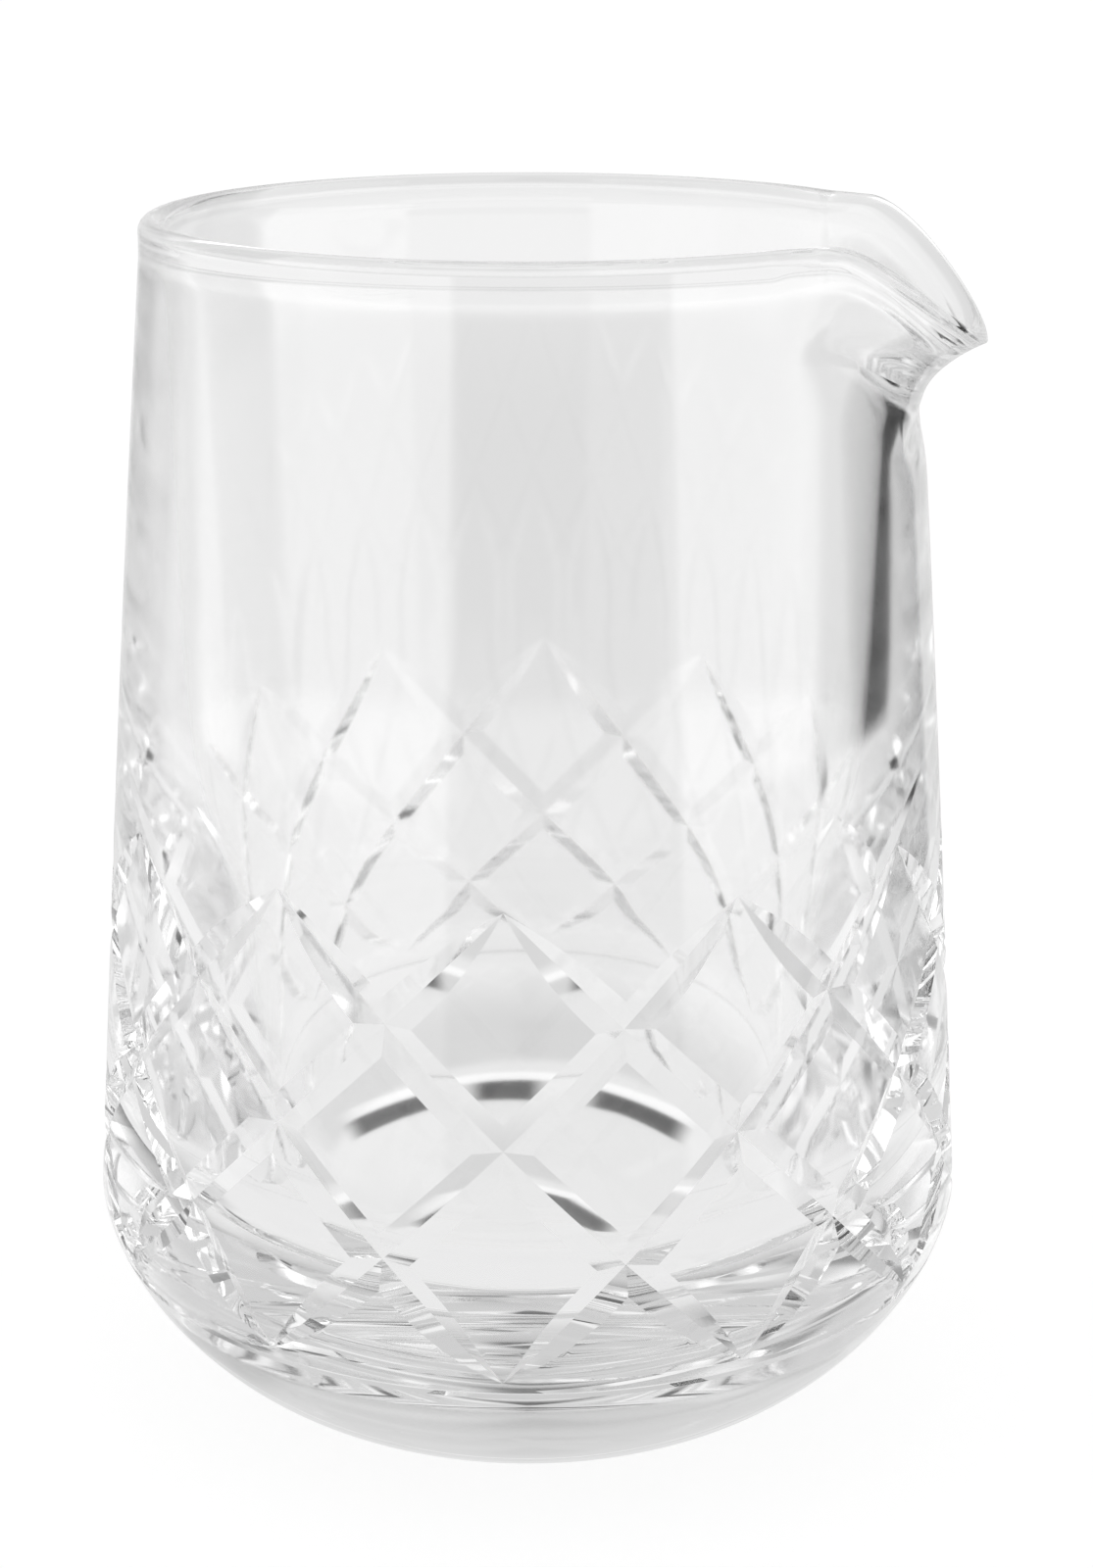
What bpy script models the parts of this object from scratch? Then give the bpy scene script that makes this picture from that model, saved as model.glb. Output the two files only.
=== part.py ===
"""Cut mixing glass: a tapered clear body with a rounded lip and a drawn pouring spout,
cut all round with crossing mitre grooves and fused to a solid heavy base.

Metres, +Z up. The glass stands on z = 0 with its axis on Z, and the spout points along +X.
"""

import math

import bmesh
import bpy
from mathutils import Vector

OBJECT_NAME = "mixing_glass"

# Outside of the body: a tapered wall that turns under into a rounded heel
HEIGHT = 0.129              # crest of the rim
NECK_RADIUS = 0.0397        # outside of the wall, carried up to the height of the rim
BELLY_RADIUS = 0.048        # outside of the wall where the heel begins
BELLY_HEIGHT = 0.023
WALL_BOW = 0.00026          # outward bow of the wall at mid height
FOOT_RADIUS = 0.027         # flat underside that the glass stands on
HEEL_POWER = 1.5            # 1 is a straight bevel, 2 is an elliptical quarter round

# Inside of the body: a nearly straight bore that narrows in its lower half to a heavy, rounded bottom
WALL_AT_RIM = 0.0016
BORE_TAPER = 0.008          # how much the radius of the bore narrows per metre downwards
NARROWING = 0.13            # how much more it narrows per metre in the lower half
NARROWING_TOP = 0.073
NARROWING_BLEND = 0.006     # height over which the narrowing sets in
FLOOR_THICKNESS = 0.0012    # glass of the body under the floor of the hollow, down to the seam
FLOOR_FLAT_RADIUS = 0.0139
BOWL_RISE = 0.0142          # height of the rounded corner between floor and wall

# Fire-polished lip: a bead that stands out a little and in a little more
LIP_RADIUS = 0.0014
LIP_SWELL = 0.0002          # how far the bead stands out from the wall
LIP_BLEND = 0.0035          # length of wall that swells into the bead

# Spout, drawn out and down from the rim
SPOUT_REACH = 0.0075
SPOUT_DROP = 0.0106
SPOUT_DEPTH = 0.019         # how far down the wall the pull is felt
SPOUT_REACH_ANGLE = math.radians(42.4)
SPOUT_DROP_ANGLE = math.radians(34)
SPOUT_REACH_POWER = 1.4
SPOUT_DROP_POWER = 1.7
SPOUT_FLARE_POWER = 2.0     # how the reach dies away down the wall
SPOUT_SLUMP_POWER = 1.0     # how the drop dies away down the wall
PINCH = 0.0006              # how far the wall is drawn in under the spout
PINCH_DEPTH = 0.0205        # below the rim
PINCH_SPREAD = 0.003
PINCH_ANGLE = math.radians(16)
CHANNEL_DEPTH = 0.0105      # how far down the pouring channel starts on the inside
CHANNEL_FLARE_POWER = 1.0   # how the reach of the channel dies away down to there

# Cut pattern: two opposite sets of V grooves that cross in a net of diamonds
GROOVE_COUNT = 12           # grooves of each hand
GROOVE_TOP = 0.0683
GROOVE_FOOT = 0.0197
GROOVE_SWEEP = math.radians(60)
GROOVE_TURN = math.radians(7.5)     # first peak, measured from the spout
GROOVE_DEPTH = 0.0009
GROOVE_HALF_ANGLE = math.radians(66.8)
GROOVE_RUN_OUT = 0.25       # share of a groove's length over which the wheel sinks in or lifts off
CUTTER_CLEARANCE = 0.0008   # how far the cutter stands out of the wall

# Fused joint between body and base
SEAM_HEIGHT = 0.018
SEAM_CHAMFER = 0.0004

# Fineness of the meshes
TURN_STEPS = 72
GROOVE_STEPS = 12
LIP_STEPS = 12
LIP_BLEND_RINGS = 3
SPOUT_RINGS = 9
WALL_RINGS = 3
SHOULDER_RINGS = 3
HEEL_RINGS = 9
BORE_RINGS = 10
BOWL_RINGS = 7
PROBE = 1e-5                # half step for slopes
MERGE = 1e-6
SMOOTH_ANGLE = math.radians(18)

GLASS_COLOUR = (0.93, 0.95, 0.95, 1.0)
GLASS_ROUGHNESS = 0.02
GLASS_INDEX = 1.5

SPOUT_ROOT = HEIGHT - SPOUT_DEPTH
PINCH_HEIGHT = HEIGHT - PINCH_DEPTH
SOFT_FOOT = PINCH_HEIGHT - 2 * PINCH_SPREAD     # drawing the spout moves nothing below this
FLOOR_HEIGHT = SEAM_HEIGHT + FLOOR_THICKNESS
BOWL_TOP = FLOOR_HEIGHT + BOWL_RISE
LIP_CENTRE_HEIGHT = HEIGHT - LIP_RADIUS
LIP_FOOT = LIP_CENTRE_HEIGHT - LIP_BLEND
CHANNEL_ROOT = HEIGHT - CHANNEL_DEPTH


def wall_radius(z):
    """Outside radius of the tapered wall, carried on straight below the belly."""
    t = (z - BELLY_HEIGHT) / (HEIGHT - BELLY_HEIGHT)
    bow = WALL_BOW * 4 * t * (1 - t) if t > 0 else 0.0
    return BELLY_RADIUS + (NECK_RADIUS - BELLY_RADIUS) * t + bow


def outer_radius(z):
    """Outside radius of the body or base at a height, without the lip."""
    turned_in = max(0.0, (BELLY_HEIGHT - z) / BELLY_HEIGHT)
    round_off = 1 - (1 - turned_in ** HEEL_POWER) ** (1 / HEEL_POWER)
    return wall_radius(z) - (wall_radius(0.0) - FOOT_RADIUS) * round_off


def inner_radius(z):
    """Inside radius of the hollow above its rounded bottom."""
    bore = NECK_RADIUS - WALL_AT_RIM - BORE_TAPER * (HEIGHT - z)
    below = NARROWING_TOP - z
    return bore - NARROWING * (below + math.hypot(below, NARROWING_BLEND)) / 2


def lip_centre():
    return outer_radius(LIP_CENTRE_HEIGHT) + LIP_SWELL - LIP_RADIUS


def towards_lip(z):
    """0 on the plain wall, growing to 1 at the lip."""
    return max(0.0, (z - LIP_FOOT) / LIP_BLEND) ** 2


def spaced(start, end, count):
    """Values from start up to, but without, end."""
    return [start + (end - start) * i / count for i in range(count)]


def hollow_outline():
    """Floor, rounded corner and inner wall, from the axis up to the lip."""
    points = [(0.0, FLOOR_HEIGHT)]
    bowl_width = inner_radius(BOWL_TOP) - FLOOR_FLAT_RADIUS
    for angle in spaced(0.0, math.pi / 2, BOWL_RINGS):
        r = FLOOR_FLAT_RADIUS + bowl_width * math.sin(angle)
        points.append((r, FLOOR_HEIGHT + BOWL_RISE * (1 - math.cos(angle))))
    heights = spaced(BOWL_TOP, SOFT_FOOT, BORE_RINGS)
    heights += spaced(SOFT_FOOT, LIP_FOOT, SPOUT_RINGS)
    heights += spaced(LIP_FOOT, LIP_CENTRE_HEIGHT, LIP_BLEND_RINGS)
    lip_edge = lip_centre() - LIP_RADIUS
    for z in heights:
        share = towards_lip(z)
        points.append((inner_radius(z) * (1 - share) + lip_edge * share, z))
    return points


def lip_outline():
    """Half round of the lip, over the rim from its inner side to its outer side."""
    points = []
    for i in range(LIP_STEPS + 1):
        angle = math.pi * i / LIP_STEPS
        height = LIP_CENTRE_HEIGHT + LIP_RADIUS * math.sin(angle)
        points.append((lip_centre() - LIP_RADIUS * math.cos(angle), height))
    return points


def wall_outline():
    """Outer wall from under the lip down to the belly."""
    heights = spaced(LIP_CENTRE_HEIGHT, LIP_FOOT, LIP_BLEND_RINGS)[1:]
    heights += spaced(LIP_FOOT, SOFT_FOOT, SPOUT_RINGS)
    heights += spaced(SOFT_FOOT, BELLY_HEIGHT, WALL_RINGS)
    return [(outer_radius(z) + LIP_SWELL * towards_lip(z), z) for z in heights]


def heel_outline(top, foot, count):
    """Rings of the rounded heel, closer together towards the foot."""
    points = []
    for i in range(count + 1):
        z = foot + (top - foot) * (1 - i / count) ** 2
        points.append((outer_radius(z), z))
    return points


def make_material(name):
    material = bpy.data.materials.new(name)
    material.use_nodes = True
    shader = material.node_tree.nodes["Principled BSDF"]
    shader.inputs["Base Color"].default_value = GLASS_COLOUR
    shader.inputs["Roughness"].default_value = GLASS_ROUGHNESS
    shader.inputs["Metallic"].default_value = 0.0
    shader.inputs["IOR"].default_value = GLASS_INDEX
    shader.inputs["Transmission Weight"].default_value = 1.0
    return material


def new_collection(name):
    collection = bpy.data.collections.new(name)
    bpy.context.scene.collection.children.link(collection)
    return collection


def turned(name, outline, collection):
    """Solid of revolution from an outline that runs from the axis back to the axis."""
    mesh = bpy.data.meshes.new(name)
    edges = [(i, i + 1) for i in range(len(outline) - 1)]
    mesh.from_pydata([(r, 0.0, z) for r, z in outline], edges, [])
    solid = bpy.data.objects.new(name, mesh)
    collection.objects.link(solid)
    screw = solid.modifiers.new("turn", "SCREW")
    screw.axis = "Z"
    screw.steps = TURN_STEPS
    screw.render_steps = TURN_STEPS
    screw.use_merge_vertices = True
    screw.merge_threshold = MERGE
    return solid


def bake(solid):
    """Replace an object's mesh by its evaluated one, so that its points can be moved."""
    evaluated = solid.evaluated_get(bpy.context.evaluated_depsgraph_get())
    mesh = bpy.data.meshes.new_from_object(evaluated)
    solid.modifiers.clear()
    solid.data = mesh


def swell(offset, half_angle, power):
    """1 on the spout's centre line, falling smoothly to 0 at its half angle."""
    return max(0.0, 1 - (offset / half_angle) ** 2) ** power


def share_above(root, z):
    """0 up to a root height, growing to 1 at the lip."""
    return min(1.0, max(0.0, (z - root) / (LIP_CENTRE_HEIGHT - root)))


def draw_spout(solid):
    """Pull the rim out and down towards +X, as the hot glass is drawn over a tool. The pouring channel inside starts
    more suddenly than the swelling outside, which has a pinch under it."""
    for vertex in solid.data.vertices:
        x, y, z = vertex.co
        if z < SOFT_FOOT:
            continue
        felt = share_above(SPOUT_ROOT, z)
        offset = math.atan2(y, x)
        radius = math.hypot(x, y)
        if radius < (inner_radius(z) + outer_radius(z)) / 2:
            reach = SPOUT_REACH * share_above(CHANNEL_ROOT, z) ** CHANNEL_FLARE_POWER
        else:
            pinch = PINCH * math.exp(-((z - PINCH_HEIGHT) / PINCH_SPREAD) ** 2)
            reach = SPOUT_REACH * felt ** SPOUT_FLARE_POWER - pinch * swell(offset, PINCH_ANGLE, 1)
        reach *= swell(offset, SPOUT_REACH_ANGLE, SPOUT_REACH_POWER)
        drop = SPOUT_DROP * felt ** SPOUT_SLUMP_POWER
        drop *= swell(offset, SPOUT_DROP_ANGLE, SPOUT_DROP_POWER)
        stretch = (radius + reach) / radius
        vertex.co = (x * stretch, y * stretch, z - drop)


def groove_station(share, start_angle, hand):
    """Point on the wall, outward normal and sideways direction at a share of a groove's length."""
    z = GROOVE_TOP + (GROOVE_FOOT - GROOVE_TOP) * share
    angle = start_angle + hand * GROOVE_SWEEP * share
    radial = Vector((math.cos(angle), math.sin(angle), 0.0))
    around = Vector((-math.sin(angle), math.cos(angle), 0.0))
    slope = (outer_radius(z + PROBE) - outer_radius(z - PROBE)) / (2 * PROBE)
    upward = (radial * slope + Vector((0.0, 0.0, 1.0))).normalized()
    normal = around.cross(upward).normalized()
    drop_rate = (GROOVE_FOOT - GROOVE_TOP) / GROOVE_SWEEP
    along = (around * hand * outer_radius(z) + upward * drop_rate).normalized()
    return radial * outer_radius(z) + Vector((0.0, 0.0, z)), normal, normal.cross(along)


def groove_sink(share):
    """Depth of the groove: the wheel sinks in, runs level and lifts off again."""
    from_end = min(share, 1 - share)
    lift = max(0.0, 1 - from_end / GROOVE_RUN_OUT)
    return GROOVE_DEPTH * (1 - lift ** 2)


def add_groove_bar(bm, start_angle, hand):
    """One V-section bar that follows the wall on a helix."""
    rows = []
    for i in range(GROOVE_STEPS + 1):
        share = i / GROOVE_STEPS
        point, normal, side = groove_station(share, start_angle, hand)
        sink = groove_sink(share)
        half_width = (sink + CUTTER_CLEARANCE) * math.tan(GROOVE_HALF_ANGLE)
        top = point + normal * CUTTER_CLEARANCE
        corners = (point - normal * sink, top + side * half_width, top - side * half_width)
        rows.append([bm.verts.new(corner) for corner in corners])
    for row, following in zip(rows, rows[1:]):
        for i in range(3):
            j = (i + 1) % 3
            bm.faces.new((row[i], row[j], following[j], following[i]))
    bm.faces.new(rows[0])
    bm.faces.new(rows[-1])


def groove_cutter(name, hand, collection):
    """All grooves of one hand as a single cutter of separate bars."""
    bm = bmesh.new()
    for i in range(GROOVE_COUNT):
        add_groove_bar(bm, GROOVE_TURN + 2 * math.pi * i / GROOVE_COUNT, hand)
    bmesh.ops.recalc_face_normals(bm, faces=bm.faces)
    mesh = bpy.data.meshes.new(name)
    bm.to_mesh(mesh)
    bm.free()
    cutter = bpy.data.objects.new(name, mesh)
    cutter.hide_render = True
    cutter.display_type = "WIRE"
    collection.objects.link(cutter)
    return cutter


def finish(solid, material, parent):
    solid.data.materials.append(material)
    solid.data.shade_smooth()
    solid.data.set_sharp_from_angle(angle=SMOOTH_ANGLE)
    solid.parent = parent


def make_body(parts, cutters):
    """Hollow body: turned, drawn into a spout, then cut with both sets of grooves."""
    seam_edge = SEAM_HEIGHT + SEAM_CHAMFER
    outline = hollow_outline() + lip_outline() + wall_outline()
    outline += heel_outline(BELLY_HEIGHT, seam_edge, SHOULDER_RINGS)
    outline += [(outer_radius(SEAM_HEIGHT) - SEAM_CHAMFER, SEAM_HEIGHT), (0.0, SEAM_HEIGHT)]
    body = turned("glass_body", outline, parts)
    bake(body)
    draw_spout(body)
    for name, hand in (("grooves_right", 1), ("grooves_left", -1)):
        cut = body.modifiers.new(name, "BOOLEAN")
        cut.operation = "DIFFERENCE"
        cut.object = groove_cutter(name, hand, cutters)
    return body


def make_base(parts):
    """Solid base under the seam, rounded in to the flat foot."""
    seam_edge = SEAM_HEIGHT - SEAM_CHAMFER
    outline = [(0.0, SEAM_HEIGHT), (outer_radius(SEAM_HEIGHT) - SEAM_CHAMFER, SEAM_HEIGHT)]
    outline += heel_outline(seam_edge, 0.0, HEEL_RINGS)
    outline.append((0.0, 0.0))
    return turned("glass_base", outline, parts)


def main():
    for leftover in list(bpy.data.objects):
        bpy.data.objects.remove(leftover, do_unlink=True)
    parts = new_collection(OBJECT_NAME)
    cutters = new_collection("cutters")
    stand = bpy.data.objects.new(OBJECT_NAME, None)
    parts.objects.link(stand)
    finish(make_body(parts, cutters), make_material("clear_body_glass"), stand)
    finish(make_base(parts), make_material("clear_base_glass"), stand)


main()
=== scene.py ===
"""Looks of the cut mixing glass: one continuous body of clear glass with its cut pattern, spout and heel
line, in a white studio. Metres, +Z up, in the frame of the solids: axis on Z, spout along +X, standing on
z = 0."""

import math

import bpy
import numpy as np
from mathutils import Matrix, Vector
from mathutils.geometry import delaunay_2d_cdt


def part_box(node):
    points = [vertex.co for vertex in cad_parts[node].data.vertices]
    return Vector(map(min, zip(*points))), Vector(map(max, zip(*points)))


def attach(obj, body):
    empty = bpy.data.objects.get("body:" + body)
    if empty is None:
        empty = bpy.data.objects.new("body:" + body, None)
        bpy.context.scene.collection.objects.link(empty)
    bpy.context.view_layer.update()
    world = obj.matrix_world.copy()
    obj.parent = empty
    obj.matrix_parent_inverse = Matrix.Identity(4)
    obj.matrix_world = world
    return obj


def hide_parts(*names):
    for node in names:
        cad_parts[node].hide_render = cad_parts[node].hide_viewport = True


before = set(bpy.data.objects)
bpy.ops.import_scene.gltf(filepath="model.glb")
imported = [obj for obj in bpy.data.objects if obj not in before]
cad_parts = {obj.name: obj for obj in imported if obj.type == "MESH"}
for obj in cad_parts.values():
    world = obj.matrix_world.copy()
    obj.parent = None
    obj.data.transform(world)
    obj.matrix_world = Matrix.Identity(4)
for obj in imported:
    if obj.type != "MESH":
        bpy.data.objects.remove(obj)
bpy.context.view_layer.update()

# Sizes read from the solids
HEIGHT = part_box("glass_body")[1].z
SEAM_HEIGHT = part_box("glass_base")[1].z

# Outside of the glass, as in the solids
NECK_RADIUS = 0.0397
BELLY_RADIUS = 0.048
BELLY_HEIGHT = 0.023
WALL_BOW = 0.00026
FOOT_RADIUS = 0.027
HEEL_POWER = 1.5

# Inside of the glass
WALL_AT_RIM = 0.0016
BORE_TAPER = 0.008
NARROWING = 0.13
NARROWING_TOP = 0.073
NARROWING_BLEND = 0.006
FLOOR_HEIGHT = 0.0192
FLOOR_FLAT_RADIUS = 0.0139
BOWL_RISE = 0.0142

# Lip and spout
LIP_RADIUS = 0.0014
LIP_SWELL = 0.0002
LIP_BLEND = 0.0035
SPOUT_REACH = 0.0075
SPOUT_DROP = 0.0106
SPOUT_DEPTH = 0.019
SPOUT_REACH_ANGLE = math.radians(42.4)
SPOUT_DROP_ANGLE = math.radians(34)
SPOUT_REACH_POWER = 1.4
SPOUT_DROP_POWER = 1.7
SPOUT_FLARE_POWER = 2.0
SPOUT_SLUMP_POWER = 1.0
CHANNEL_DEPTH = 0.0105
CHANNEL_FLARE_POWER = 1.0
PINCH = 0.0006
PINCH_DEPTH = 0.0205
PINCH_SPREAD = 0.003
PINCH_ANGLE = math.radians(16)

# Cut pattern: a net of GROOVE_COUNT peaks, three rows of crossings and GROOVE_COUNT tips
GROOVE_COUNT = 12
GROOVE_TOP = 0.0683
GROOVE_FOOT = 0.0197
GROOVE_TURN = math.radians(7.5)
GROOVE_DEPTH = 0.0009
PATTERN_ROWS = 4            # rows of net cells from the peaks down to the tips
CELL_STEPS = 16             # mesh steps along one side of a net cell, across and down
GROOVE_STEPS = 4            # half width of a groove in those steps
GROOVE_RUN_OUT = 0.21       # share of a groove's length over which the wheel sinks in or lifts off
CREASE_CLEARANCE = 0.4      # steps that plain mesh points keep from the bottoms and edges of grooves
MERGE_DISTANCE = 1e-4       # points of a tile closer than this, in steps, become one
NET_FRACTIONS = 1000        # points that tiles share are matched to this fraction of a step

# Heel line
SEAM_WIDTH = 0.0004
SEAM_NOTCH = 0.0003

# Finishes, by the order of the materials on the mesh
POLISHED = 0
CUT = 1
BORE = 2
BORE_ROUGHNESS = 0.065      # the inside is fire polished, a little less even than the outside
GLASS_IOR = 1.5

# Fineness of the turned surfaces
UNDERSIDE_RINGS = 6
HEEL_RINGS = 30
HEEL_CROWDING = 2.0         # the heel's rings lie closer towards the foot
SEAM_RINGS = 4
WALL_RINGS = 24
SPOUT_RINGS = 26
LIP_STEPS = 16
BOWL_RINGS = 24
FLOOR_RINGS = 6
SHARP_ANGLE = math.radians(20)
PROBE = 1e-5                # half step for slopes

# Camera, from the outline, rim, cut pattern and heel line in the photograph
FRAME_WIDTH = 1115
FRAME_HEIGHT = 1600
CAMERA_TURN = math.radians(-79.5)   # from the spout round to the camera
CAMERA_DISTANCE = 0.3065
CAMERA_HEIGHT = 0.1645
AIM_HEIGHT = 0.067
FOCAL_PIXELS = 2995
AXIS_PIXEL = 538.35
SENSOR = 36.0
CLIP_START = 0.01

# Studio. Angles in degrees: round the glass from the camera's side, to its right, and up. Level 1 is white.
GLASS_BOUNCES = 32
BACKDROP_LEVEL = 0.755
HORIZON_LEVEL = 0.87
ZENITH_LEVEL = 0.62
BACKDROP_TOP = (-16, -10)   # elevations over which the backdrop passes into the horizon
HORIZON_TOP = (4, 20)       # and the horizon into the zenith
CARDS = (                   # from, to, foot, top, softness, level; later cards cover earlier ones
    (-135, -55, 2, 24, 6, 1.0),         # glow over the left softbox
    (-118, -60, -60, 2, 5, 1.65),       # left softbox
    (-66, -21, -60, 3, 2, 1.8),         # its near end
    (-21, 41, -13, 9, 1.5, 1.6),        # gap round the camera
    (41, 98, -60, 3, 2, 1.8),           # right softbox
    (101, 142, -60, 5, 3, 0.0),         # black flag on the right
    (101, 142, 5, 16, 3, 0.35),         # its upper edge
    (-160, -136, -12, 2, 5, 0.6),       # stand at the back left
    (15, 50, 45, 80, 5, 0.95),          # overhead panels
    (-85, -40, 48, 80, 5, 0.95),
    (-14, 8, 38, 88, 4, 0.1),           # boom over the camera
    (-60, -38, 20, 46, 5, 0.2),         # gap between left softbox and overhead panel
    (126, 146, 24, 50, 5, 0.3),         # top of the flag's stand
)
MIRRORED_GAP = (-21, 41, -13, 9, 1.5)   # the gap round the camera is black in direct mirror images

# Floor
FLOOR_SIZE = 20.0
FLOOR_GAP = 0.0003
FLOOR_WHITE = 0.27          # the share of the floor's white that a shadow can take away
FLOOR_GLOW = 0.855
FLOOR_ROUGHNESS = 0.9

# The floor as seen by way of the glass: a pale table with painted shadow arcs, a painted line of light and a
# painted shade behind the foot. Groups of three are from, to and softness.
TABLE_RADIUS = 0.16
TABLE_EDGE = 0.02
TABLE_LEVEL = 0.84
BEHIND = (105, 255, 8)
# The arcs are a painted shadow of the foot on the floor, seen only by way of the glass.
CRESCENT_NEAR = 0.0173      # centre of the arcs, from the axis towards the camera and to its left
CRESCENT_LEFT = 0.0024
CRESCENT_RADII = (0.0411, 0.0455, 0.0002)
CRESCENT_SPREAD = (141, 219, 4)
CRESCENT_GAPS = ((164, 175, 2.4), (187, 195, 2.4))
CRESCENT_GAP_SHARE = 0.8
PAINTED_SHADOW_DARKNESS = 0.84
# A painted line of light on the floor just outside the painted shadow arcs.
PAINTED_LIGHT_RADII = (0.0459, 0.0484, 0.0003)
PAINTED_LIGHT_GAIN = 0.22
SHADE_START = (0.0335, 0.0370)      # distances from the axis over which the shade sets in and fades
SHADE_END = (0.045, 0.070)
SHADE_DARKNESS = 0.16

SPOUT_ROOT = HEIGHT - SPOUT_DEPTH
PINCH_HEIGHT = HEIGHT - PINCH_DEPTH
CHANNEL_ROOT = HEIGHT - CHANNEL_DEPTH
SOFT_FOOT = PINCH_HEIGHT - 2 * PINCH_SPREAD
BOWL_TOP = FLOOR_HEIGHT + BOWL_RISE
LIP_CENTRE_HEIGHT = HEIGHT - LIP_RADIUS
LIP_FOOT = LIP_CENTRE_HEIGHT - LIP_BLEND
COLUMNS = 2 * GROOVE_COUNT * CELL_STEPS
NET_STEPS = PATTERN_ROWS * CELL_STEPS
COLUMN_ANGLE = 2 * math.pi / COLUMNS
ROW_HEIGHT = (GROOVE_TOP - GROOVE_FOOT) / NET_STEPS


def wall_radius(z):
    t = (z - BELLY_HEIGHT) / (HEIGHT - BELLY_HEIGHT)
    bow = WALL_BOW * 4 * t * (1 - t) * (t > 0)
    return BELLY_RADIUS + (NECK_RADIUS - BELLY_RADIUS) * t + bow


def outer_radius(z):
    turned_in = np.clip((BELLY_HEIGHT - z) / BELLY_HEIGHT, 0, 1)
    round_off = 1 - (1 - turned_in ** HEEL_POWER) ** (1 / HEEL_POWER)
    return wall_radius(z) - (wall_radius(0.0) - FOOT_RADIUS) * round_off


def inner_radius(z):
    bore = NECK_RADIUS - WALL_AT_RIM - BORE_TAPER * (HEIGHT - z)
    below = NARROWING_TOP - z
    return bore - NARROWING * (below + np.hypot(below, NARROWING_BLEND)) / 2


def run(start, end, count, power=1.0):
    """count values from start up to, but without, end; a power over 1 crowds them towards start."""
    return start + (end - start) * (np.arange(count) / count) ** power


def towards_lip(z):
    """0 below the foot of the lip's blend, 1 at the height of the lip's centre."""
    return np.clip((z - LIP_FOOT) / LIP_BLEND, 0, 1) ** 2


def turned_rings():
    """Rings (radius, height) below the cut pattern, from the underside up, and above it, over the lip and
    down to the floor of the hollow. The rings at the two ends of the pattern are left to its own mesh."""
    below = [(r, 0.0) for r in run(FOOT_RADIUS, 0.0, UNDERSIDE_RINGS)[::-1][:-1]]
    heel = run(0.0, SEAM_HEIGHT - SEAM_WIDTH, HEEL_RINGS, HEEL_CROWDING)
    heel = np.append(heel, SEAM_HEIGHT - SEAM_WIDTH)
    below += [(outer_radius(z), z) for z in heel]
    below.append((outer_radius(SEAM_HEIGHT) - SEAM_NOTCH, SEAM_HEIGHT))
    below += [(outer_radius(z), z) for z in run(SEAM_HEIGHT + SEAM_WIDTH, GROOVE_FOOT, SEAM_RINGS)]
    above = [(outer_radius(z), z) for z in run(GROOVE_TOP, SOFT_FOOT, WALL_RINGS)[1:]]
    outside = [*run(SOFT_FOOT, LIP_FOOT, SPOUT_RINGS), *run(LIP_FOOT, LIP_CENTRE_HEIGHT, LIP_STEPS // 2)]
    above += [(outer_radius(z) + LIP_SWELL * towards_lip(z), z) for z in outside]
    lip_centre = outer_radius(LIP_CENTRE_HEIGHT) + LIP_SWELL - LIP_RADIUS
    for angle in np.linspace(0, math.pi, LIP_STEPS + 1):
        r = lip_centre + LIP_RADIUS * math.cos(angle)
        above.append((r, LIP_CENTRE_HEIGHT + LIP_RADIUS * math.sin(angle)))
    inside = [*run(LIP_CENTRE_HEIGHT, LIP_FOOT, LIP_STEPS // 2)[1:]]
    inside += [*run(LIP_FOOT, SOFT_FOOT, SPOUT_RINGS), *run(SOFT_FOOT, BOWL_TOP, WALL_RINGS)]
    for z in inside:
        share = towards_lip(z)
        above.append((inner_radius(z) * (1 - share) + (lip_centre - LIP_RADIUS) * share, z))
    bowl_width = inner_radius(BOWL_TOP) - FLOOR_FLAT_RADIUS
    for angle in run(math.pi / 2, 0.0, BOWL_RINGS):
        r = FLOOR_FLAT_RADIUS + bowl_width * math.sin(angle)
        above.append((r, FLOOR_HEIGHT + BOWL_RISE * (1 - math.cos(angle))))
    above += [(r, FLOOR_HEIGHT) for r in run(FLOOR_FLAT_RADIUS, 0.0, FLOOR_RINGS)]
    return np.array(below), np.array(above)


def sink(share):
    """Share of the full depth of cut along a groove, and its slope. The wheel sinks in, runs level and lifts
    off."""
    lift = np.clip(1 - np.minimum(share, 1 - share) / GROOVE_RUN_OUT, 0, None)
    return 1 - lift ** 2, np.where(share < 0.5, 2, -2) * lift / GROOVE_RUN_OUT


def groove_place(column, row, hand):
    """Steps across a groove from its centre line, and share of its length, at a point of the net."""
    across = (column - hand * row + CELL_STEPS) % (2 * CELL_STEPS) - CELL_STEPS
    return across, (row + hand * across / 2) / NET_STEPS


def crease_lines():
    """Centre lines and edges of the grooves in one tile of the net, as lists of (column, row). The tile runs
    from a peak to the next crossing, and its mirror images make up the pattern."""
    cell, wide, rows = CELL_STEPS, GROOVE_STEPS, NET_STEPS
    straight = [
        ((0, 0), (cell, cell)), ((cell, cell), (0, 2 * cell)),
        ((0, 2 * cell), (cell, 3 * cell)), ((cell, 3 * cell), (0, 4 * cell)),
        ((cell - wide, cell), (0, 2 * cell - wide)), ((cell, cell + wide), (wide, 2 * cell)),
        ((wide, 2 * cell), (cell, 3 * cell - wide)), ((0, 2 * cell + wide), (cell - wide, 3 * cell)),
        ((cell - wide, cell), (cell, cell)), ((0, 2 * cell), (wide, 2 * cell)),
        ((cell - wide, 3 * cell), (cell, 3 * cell)),
    ]
    lines = []
    for (c0, r0), (c1, r1) in straight:
        count = max(abs(c1 - c0), abs(r1 - r0)) + 1
        lines.append(np.stack([np.linspace(c0, c1, count), np.linspace(r0, r1, count)], 1))
    along = np.linspace(0, cell - wide / 2, 2 * cell)
    half = wide * sink(along / rows)[0] / 2
    for side in (1, -1):
        edge = np.stack([along + side * half, along - side * half], 1)
        lines.append(edge)
        lines.append(edge * (1, -1) + (0, rows))
    return lines


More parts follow.
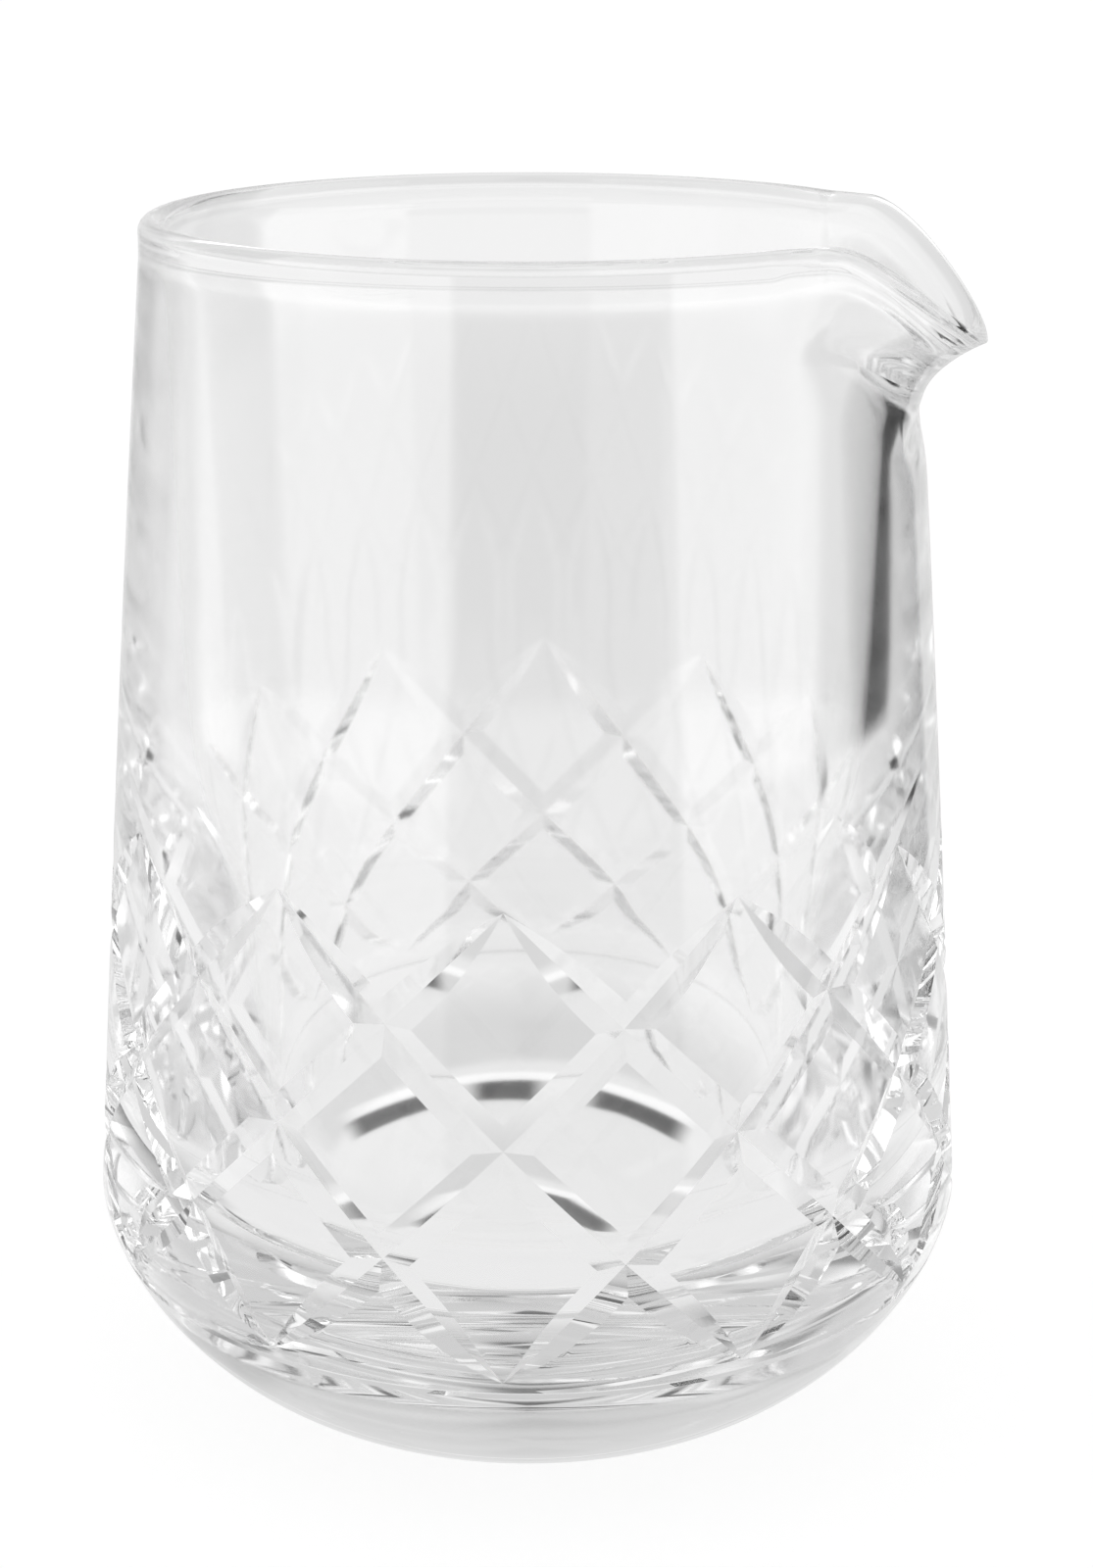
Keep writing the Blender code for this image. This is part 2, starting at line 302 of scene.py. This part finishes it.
def tile_mesh():
    """Points (column, row) and triangles of one tile. No triangle crosses the bottom or edge of a groove."""
    lines = crease_lines()
    creases = np.concatenate(lines)
    grid = np.stack(np.meshgrid(np.arange(CELL_STEPS + 1), np.arange(NET_STEPS + 1)), 2).reshape(-1, 2)
    apart = np.abs(grid[:, None] - creases[None]).max(2).min(1)
    on_end = (grid[:, 1] == 0) | (grid[:, 1] == NET_STEPS)
    grid = grid[on_end | (apart > CREASE_CLEARANCE)]
    links = []
    start = len(grid)
    for line in lines:
        links += [(start + i, start + i + 1) for i in range(len(line) - 1)]
        start += len(line)
    points = np.concatenate([grid, creases])
    result = delaunay_2d_cdt([Vector(p) for p in points], links, [], 0, MERGE_DISTANCE)
    return np.array([tuple(p) for p in result[0]]), np.array(result[2])


def tile_facets(points, triangles):
    """For each triangle of the tile the hand of the groove that cuts it, 0 where none does, and the groove's
    side."""
    column, row = points[triangles].mean(1).T
    hand = np.zeros(len(triangles))
    side = np.zeros(len(triangles))
    deepest = np.zeros(len(triangles))
    for h in (1, -1):
        across, share = groove_place(column, row, h)
        depth = sink(share)[0] - np.abs(across) / GROOVE_STEPS
        better = depth > deepest
        hand[better] = h
        side[better] = np.sign(across[better])
        deepest = np.maximum(deepest, depth)
    return hand, side


def wall_frame(row):
    """Height, radius, slope and slant length of the uncut wall at rows of the net."""
    z = GROOVE_TOP + (GROOVE_FOOT - GROOVE_TOP) * row / NET_STEPS
    slope = (outer_radius(z + PROBE) - outer_radius(z - PROBE)) / (2 * PROBE)
    return z, outer_radius(z), slope, np.sqrt(1 + slope ** 2)


def cut_points(points):
    """Radius and height of the tile's points after cutting, square to the wall."""
    depth = np.zeros(len(points))
    for hand in (1, -1):
        across, share = groove_place(points[:, 0], points[:, 1], hand)
        depth = np.maximum(depth, GROOVE_DEPTH * (sink(share)[0] - np.abs(across) / GROOVE_STEPS))
    z, radius, slope, lean = wall_frame(points[:, 1])
    return radius - depth / lean, z + depth * slope / lean


def facet_normals(corners, hand, side, angle, mirror):
    """Normals of wall and groove facets at the corners of the tile's triangles."""
    across, share = groove_place(corners[..., 0], corners[..., 1], hand[:, None])
    rise = sink(share)[1] / (2 * NET_STEPS)
    cut = (hand != 0)[:, None]
    by_column = GROOVE_DEPTH * cut * (rise * hand[:, None] - side[:, None] / GROOVE_STEPS)
    by_row = GROOVE_DEPTH * cut * (rise + side[:, None] * hand[:, None] / GROOVE_STEPS)
    z, radius, slope, lean = wall_frame(corners[..., 1])
    turn = mirror * by_column / (radius * COLUMN_ANGLE)
    climb = by_row / (ROW_HEIGHT * lean)
    outward = (1 - climb * slope) / lean
    upward = (-slope - climb) / lean
    cosine, sine = np.cos(angle), np.sin(angle)
    normal = np.stack([outward * cosine - turn * sine, outward * sine + turn * cosine, upward], 2)
    return normal / np.linalg.norm(normal, axis=2, keepdims=True)


def spout_shift(angle, z, inside):
    """How far the spout pulls a point outwards and down. The pouring channel inside starts more suddenly."""
    felt = np.clip((z - SPOUT_ROOT) / (LIP_CENTRE_HEIGHT - SPOUT_ROOT), 0, 1)
    channel = np.clip((z - CHANNEL_ROOT) / (LIP_CENTRE_HEIGHT - CHANNEL_ROOT), 0, 1) ** CHANNEL_FLARE_POWER
    across = np.abs((angle + math.pi) % (2 * math.pi) - math.pi)
    reach = np.clip(1 - (across / SPOUT_REACH_ANGLE) ** 2, 0, None) ** SPOUT_REACH_POWER
    drop = np.clip(1 - (across / SPOUT_DROP_ANGLE) ** 2, 0, None) ** SPOUT_DROP_POWER
    pinch = PINCH * np.exp(-((z - PINCH_HEIGHT) / PINCH_SPREAD) ** 2) * (z > SOFT_FOOT)
    pinch = pinch * np.clip(1 - (across / PINCH_ANGLE) ** 2, 0, None)
    pull = SPOUT_REACH * channel if inside else SPOUT_REACH * felt ** SPOUT_FLARE_POWER - pinch
    return reach * pull, SPOUT_DROP * drop * felt ** SPOUT_SLUMP_POWER


class GlassMesh:
    """Points, faces, normals and finishes of the glass while it is put together."""

    def __init__(self):
        self.points = []
        self.faces = []
        self.normals = []
        self.finish = []
        self.net = {}

    def add_ring(self, radius, height, inside=False):
        angle = GROOVE_TURN + COLUMN_ANGLE * np.arange(COLUMNS)
        reach, drop = spout_shift(angle, height, inside)
        start = len(self.points)
        r = radius + reach
        self.points += np.stack([r * np.cos(angle), r * np.sin(angle), height - drop], 1).tolist()
        return list(range(start, start + COLUMNS))

    def add_face(self, corners, normals=None, finish=POLISHED):
        self.faces.append(corners)
        self.normals.append(normals)
        self.finish.append(finish)

    def join(self, lower, upper, finish=POLISHED):
        for j in range(COLUMNS):
            k = (j + 1) % COLUMNS
            self.add_face((lower[j], lower[k], upper[k], upper[j]), finish=finish)

    def close(self, ring, height, downwards, finish=POLISHED):
        centre = len(self.points)
        self.points.append([0.0, 0.0, height])
        for j in range(COLUMNS):
            k = (j + 1) % COLUMNS
            face = (centre, ring[k], ring[j]) if downwards else (ring[j], ring[k], centre)
            self.add_face(face, finish=finish)

    def net_point(self, column, row, radius, height):
        """Number of a point of the pattern, shared between tiles."""
        column %= COLUMNS
        key = (round(column * NET_FRACTIONS) % (COLUMNS * NET_FRACTIONS), round(row * NET_FRACTIONS))
        if key not in self.net:
            angle = GROOVE_TURN + COLUMN_ANGLE * column
            self.net[key] = len(self.points)
            self.points.append([radius * math.cos(angle), radius * math.sin(angle), height])
        return self.net[key]

    def net_ring(self, row):
        return [self.net[(column * NET_FRACTIONS, row * NET_FRACTIONS)] for column in range(COLUMNS)]

    def add_pattern(self):
        points, triangles = tile_mesh()
        hand, side = tile_facets(points, triangles)
        radius, height = cut_points(points)
        corners = points[triangles]
        for tile in range(2 * GROOVE_COUNT):
            mirror = 1 if tile % 2 == 0 else -1
            first = CELL_STEPS * (tile + (mirror < 0))
            column = first + mirror * points[:, 0]
            numbers = [self.net_point(*values) for values in zip(column, points[:, 1], radius, height)]
            angle = GROOVE_TURN + COLUMN_ANGLE * (first + mirror * corners[..., 0])
            normals = facet_normals(corners, hand, side, angle, mirror)
            for i, triangle in enumerate(triangles):
                order = (0, 2, 1) if mirror > 0 else (0, 1, 2)
                face = tuple(numbers[triangle[o]] for o in order)
                finish = POLISHED if hand[i] == 0 else CUT
                self.add_face(face, [normals[i, o] for o in order], finish)


def make_glass():
    build = GlassMesh()
    below, above = turned_rings()
    build.add_pattern()
    rings = [build.add_ring(r, z) for r, z in below]
    rings.append(build.net_ring(NET_STEPS))
    for lower, upper in zip(rings, rings[1:]):
        build.join(lower, upper)
    build.close(rings[0], 0.0, True)
    rings = [build.net_ring(0)]
    crest = 1 + int(np.argmax(above[:, 1]))
    for i, (r, z) in enumerate(above):
        rings.append(build.add_ring(r, z, i >= crest))
    for i, (lower, upper) in enumerate(zip(rings, rings[1:])):
        build.join(lower, upper, POLISHED if i < crest + LIP_STEPS // 2 else BORE)
    build.close(rings[-1], FLOOR_HEIGHT, False, BORE)
    mesh = bpy.data.meshes.new("mixing_glass")
    mesh.from_pydata(build.points, [], build.faces)
    mesh.polygons.foreach_set("material_index", build.finish)
    mesh.shade_smooth()
    mesh.set_sharp_from_angle(angle=SHARP_ANGLE)
    normals = [tuple(normal.vector) for normal in mesh.corner_normals]
    for polygon in mesh.polygons:
        if build.normals[polygon.index] is None:
            continue
        for place, loop in enumerate(polygon.loop_indices):
            normals[loop] = build.normals[polygon.index][place]
    mesh.normals_split_custom_set(normals)
    glass = bpy.data.objects.new("mixing_glass", mesh)
    bpy.context.scene.collection.objects.link(glass)
    return glass


def glass_material(name, roughness):
    material = bpy.data.materials.new(name)
    material.use_nodes = True
    shader = material.node_tree.nodes["Principled BSDF"]
    shader.inputs["Base Color"].default_value = (1.0, 1.0, 1.0, 1.0)
    shader.inputs["Roughness"].default_value = roughness
    shader.inputs["IOR"].default_value = GLASS_IOR
    shader.inputs["Transmission Weight"].default_value = 1.0
    return material


def math_node(tree, operation, first, second=None, third=None):
    """Output of a new math node. Its inputs are numbers or outputs of other nodes."""
    node = tree.nodes.new("ShaderNodeMath")
    node.operation = operation
    for socket, value in zip(node.inputs, (first, second, third)):
        if value is None:
            continue
        if isinstance(value, (int, float)):
            socket.default_value = value
        else:
            tree.links.new(value, socket)
    return node.outputs[0]


def ramp(tree, value, low, high):
    """0 below low, 1 above high, smooth between."""
    node = tree.nodes.new("ShaderNodeMapRange")
    node.interpolation_type = "SMOOTHSTEP"
    node.inputs["From Min"].default_value = low
    node.inputs["From Max"].default_value = high
    tree.links.new(value, node.inputs["Value"])
    return node.outputs["Result"]


def band(tree, value, low, high, soft):
    """1 between low and high, 0 beyond them, with soft edges."""
    rise = ramp(tree, value, low - soft, low + soft)
    fall = ramp(tree, value, high - soft, high + soft)
    return math_node(tree, "SUBTRACT", rise, fall)


def arc(tree, angle, low, high, soft):
    """A band whose limits are in degrees."""
    return band(tree, angle, math.radians(low), math.radians(high), math.radians(soft))


def card_shape(tree, azimuth, elevation, low, high, foot, top, soft):
    """1 inside a light card, 0 outside."""
    across = arc(tree, azimuth, low, high, soft)
    upright = arc(tree, elevation, foot, top, 2 * soft)
    return math_node(tree, "MULTIPLY", across, upright)


def make_world():
    world = bpy.data.worlds.new("studio")
    bpy.context.scene.world = world
    world.use_nodes = True
    tree = world.node_tree
    background = tree.nodes["Background"]
    coordinate = tree.nodes.new("ShaderNodeTexCoord")
    parts = tree.nodes.new("ShaderNodeSeparateXYZ")
    tree.links.new(coordinate.outputs["Generated"], parts.inputs[0])
    azimuth = math_node(tree, "ARCTAN2", parts.outputs["Y"], parts.outputs["X"])
    azimuth = math_node(tree, "SUBTRACT", azimuth, CAMERA_TURN)
    azimuth = math_node(tree, "WRAP", azimuth, math.pi, -math.pi)
    elevation = math_node(tree, "ARCSINE", parts.outputs["Z"])
    low = ramp(tree, elevation, *np.radians(BACKDROP_TOP))
    level = math_node(tree, "MULTIPLY_ADD", low, HORIZON_LEVEL - BACKDROP_LEVEL, BACKDROP_LEVEL)
    high = ramp(tree, elevation, *np.radians(HORIZON_TOP))
    level = math_node(tree, "MULTIPLY_ADD", high, ZENITH_LEVEL - HORIZON_LEVEL, level)
    for *shape, strength in CARDS:
        card = card_shape(tree, azimuth, elevation, *shape)
        step = math_node(tree, "SUBTRACT", strength, level)
        level = math_node(tree, "MULTIPLY_ADD", card, step, level)
    path = tree.nodes.new("ShaderNodeLightPath")
    mirrored = math_node(tree, "SUBTRACT", path.outputs["Is Glossy Ray"], path.outputs["Is Transmission Ray"])
    mirrored = math_node(tree, "MAXIMUM", mirrored, 0.0)
    gap = card_shape(tree, azimuth, elevation, *MIRRORED_GAP)
    gap = math_node(tree, "MULTIPLY", gap, mirrored)
    gap = math_node(tree, "SUBTRACT", 1.0, gap)
    level = math_node(tree, "MULTIPLY", level, gap)
    mixed = tree.nodes.new("ShaderNodeMix")
    mixed.data_type = "FLOAT"
    tree.links.new(path.outputs["Is Camera Ray"], mixed.inputs[0])
    tree.links.new(level, mixed.inputs[2])
    mixed.inputs[3].default_value = 1.0
    background.inputs["Color"].default_value = (1.0, 1.0, 1.0, 1.0)
    tree.links.new(mixed.outputs[0], background.inputs["Strength"])


def polar(tree, x, y):
    """Distance on the floor from the point (x, y), and angle about it as for the studio."""
    place = tree.nodes.new("ShaderNodeNewGeometry")
    arm = tree.nodes.new("ShaderNodeVectorMath")
    arm.operation = "SUBTRACT"
    tree.links.new(place.outputs["Position"], arm.inputs[0])
    arm.inputs[1].default_value = (x, y, 0.0)
    length = tree.nodes.new("ShaderNodeVectorMath")
    length.operation = "LENGTH"
    tree.links.new(arm.outputs["Vector"], length.inputs[0])
    parts = tree.nodes.new("ShaderNodeSeparateXYZ")
    tree.links.new(arm.outputs["Vector"], parts.inputs[0])
    turn = math_node(tree, "ARCTAN2", parts.outputs["Y"], parts.outputs["X"])
    turn = math_node(tree, "SUBTRACT", turn, CAMERA_TURN)
    return length.outputs["Value"], math_node(tree, "WRAP", turn, 2 * math.pi, 0.0)


def floor_shade(tree):
    """Level of the floor as seen by way of the glass, painted shadow and light included, and distance from
    the axis.
    """
    distance, azimuth = polar(tree, 0.0, 0.0)
    centre_x = CRESCENT_NEAR * math.cos(CAMERA_TURN) + CRESCENT_LEFT * math.sin(CAMERA_TURN)
    centre_y = CRESCENT_NEAR * math.sin(CAMERA_TURN) - CRESCENT_LEFT * math.cos(CAMERA_TURN)
    from_centre, turn = polar(tree, centre_x, centre_y)
    spread = arc(tree, turn, *CRESCENT_SPREAD)
    painted_shadow = math_node(tree, "MULTIPLY", band(tree, from_centre, *CRESCENT_RADII), spread)
    for limits in CRESCENT_GAPS:
        gap = math_node(tree, "MULTIPLY_ADD", arc(tree, turn, *limits), -CRESCENT_GAP_SHARE, 1.0)
        painted_shadow = math_node(tree, "MULTIPLY", painted_shadow, gap)
    painted_light_line = math_node(tree, "MULTIPLY", band(tree, from_centre, *PAINTED_LIGHT_RADII), spread)
    shade = math_node(tree, "SUBTRACT", ramp(tree, distance, *SHADE_START), ramp(tree, distance, *SHADE_END))
    # Painted shadow arcs and painted shade take from the floor's level, the painted line of light adds to it.
    change = math_node(tree, "MULTIPLY", painted_shadow, -PAINTED_SHADOW_DARKNESS)
    change = math_node(tree, "MULTIPLY_ADD", shade, -SHADE_DARKNESS, change)
    change = math_node(tree, "MULTIPLY_ADD", painted_light_line, PAINTED_LIGHT_GAIN, change)
    behind = arc(tree, azimuth, *BEHIND)
    return math_node(tree, "MULTIPLY_ADD", change, behind, TABLE_LEVEL), distance


def make_floor():
    mesh = bpy.data.meshes.new("floor")
    half = FLOOR_SIZE / 2
    corners = [(x * half, y * half, -FLOOR_GAP) for x, y in ((-1, -1), (1, -1), (1, 1), (-1, 1))]
    mesh.from_pydata(corners, [], [(0, 1, 2, 3)])
    floor = bpy.data.objects.new("floor", mesh)
    bpy.context.scene.collection.objects.link(floor)
    material = bpy.data.materials.new("white_table")
    material.use_nodes = True
    tree = material.node_tree
    shader = tree.nodes["Principled BSDF"]
    shader.inputs["Base Color"].default_value = (FLOOR_WHITE, FLOOR_WHITE, FLOOR_WHITE, 1.0)
    shader.inputs["Roughness"].default_value = FLOOR_ROUGHNESS
    shader.inputs["Specular IOR Level"].default_value = 0.0
    shader.inputs["Emission Color"].default_value = (1.0, 1.0, 1.0, 1.0)
    shader.inputs["Emission Strength"].default_value = FLOOR_GLOW
    path = tree.nodes.new("ShaderNodeLightPath")
    seen = math_node(tree, "MAXIMUM", path.outputs["Is Glossy Ray"], path.outputs["Is Transmission Ray"])
    light, distance = floor_shade(tree)
    glow = tree.nodes.new("ShaderNodeEmission")
    tree.links.new(light, glow.inputs["Strength"])
    clear = tree.nodes.new("ShaderNodeBsdfTransparent")
    far = tree.nodes.new("ShaderNodeMixShader")
    tree.links.new(ramp(tree, distance, TABLE_RADIUS, TABLE_RADIUS + TABLE_EDGE), far.inputs[0])
    tree.links.new(glow.outputs[0], far.inputs[1])
    tree.links.new(clear.outputs[0], far.inputs[2])
    mix = tree.nodes.new("ShaderNodeMixShader")
    tree.links.new(seen, mix.inputs[0])
    tree.links.new(shader.outputs[0], mix.inputs[1])
    tree.links.new(far.outputs[0], mix.inputs[2])
    tree.links.new(mix.outputs[0], tree.nodes["Material Output"].inputs["Surface"])
    mesh.materials.append(material)


def make_camera():
    data = bpy.data.cameras.new("camera")
    data.sensor_width = SENSOR
    data.lens = SENSOR * FOCAL_PIXELS / FRAME_HEIGHT
    data.shift_x = (FRAME_WIDTH / 2 - AXIS_PIXEL) / FRAME_HEIGHT
    data.clip_start = CLIP_START
    camera = bpy.data.objects.new("camera", data)
    bpy.context.scene.collection.objects.link(camera)
    camera.location = (
        CAMERA_DISTANCE * math.cos(CAMERA_TURN),
        CAMERA_DISTANCE * math.sin(CAMERA_TURN),
        CAMERA_HEIGHT,
    )
    towards = Vector((0, 0, AIM_HEIGHT)) - camera.location
    camera.rotation_euler = towards.to_track_quat("-Z", "Y").to_euler()
    bpy.context.scene.camera = camera


def main():
    scene = bpy.context.scene
    scene.view_settings.view_transform = "Standard"
    scene.cycles.max_bounces = GLASS_BOUNCES
    scene.cycles.transmission_bounces = GLASS_BOUNCES
    scene.cycles.glossy_bounces = GLASS_BOUNCES
    glass = make_glass()
    for name, roughness in (("polished_glass", 0.0), ("cut_glass", 0.0), ("bore_glass", BORE_ROUGHNESS)):
        glass.data.materials.append(glass_material(name, roughness))
    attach(glass, "root")
    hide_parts("glass_body", "glass_base")
    make_floor()
    make_world()
    make_camera()


main()
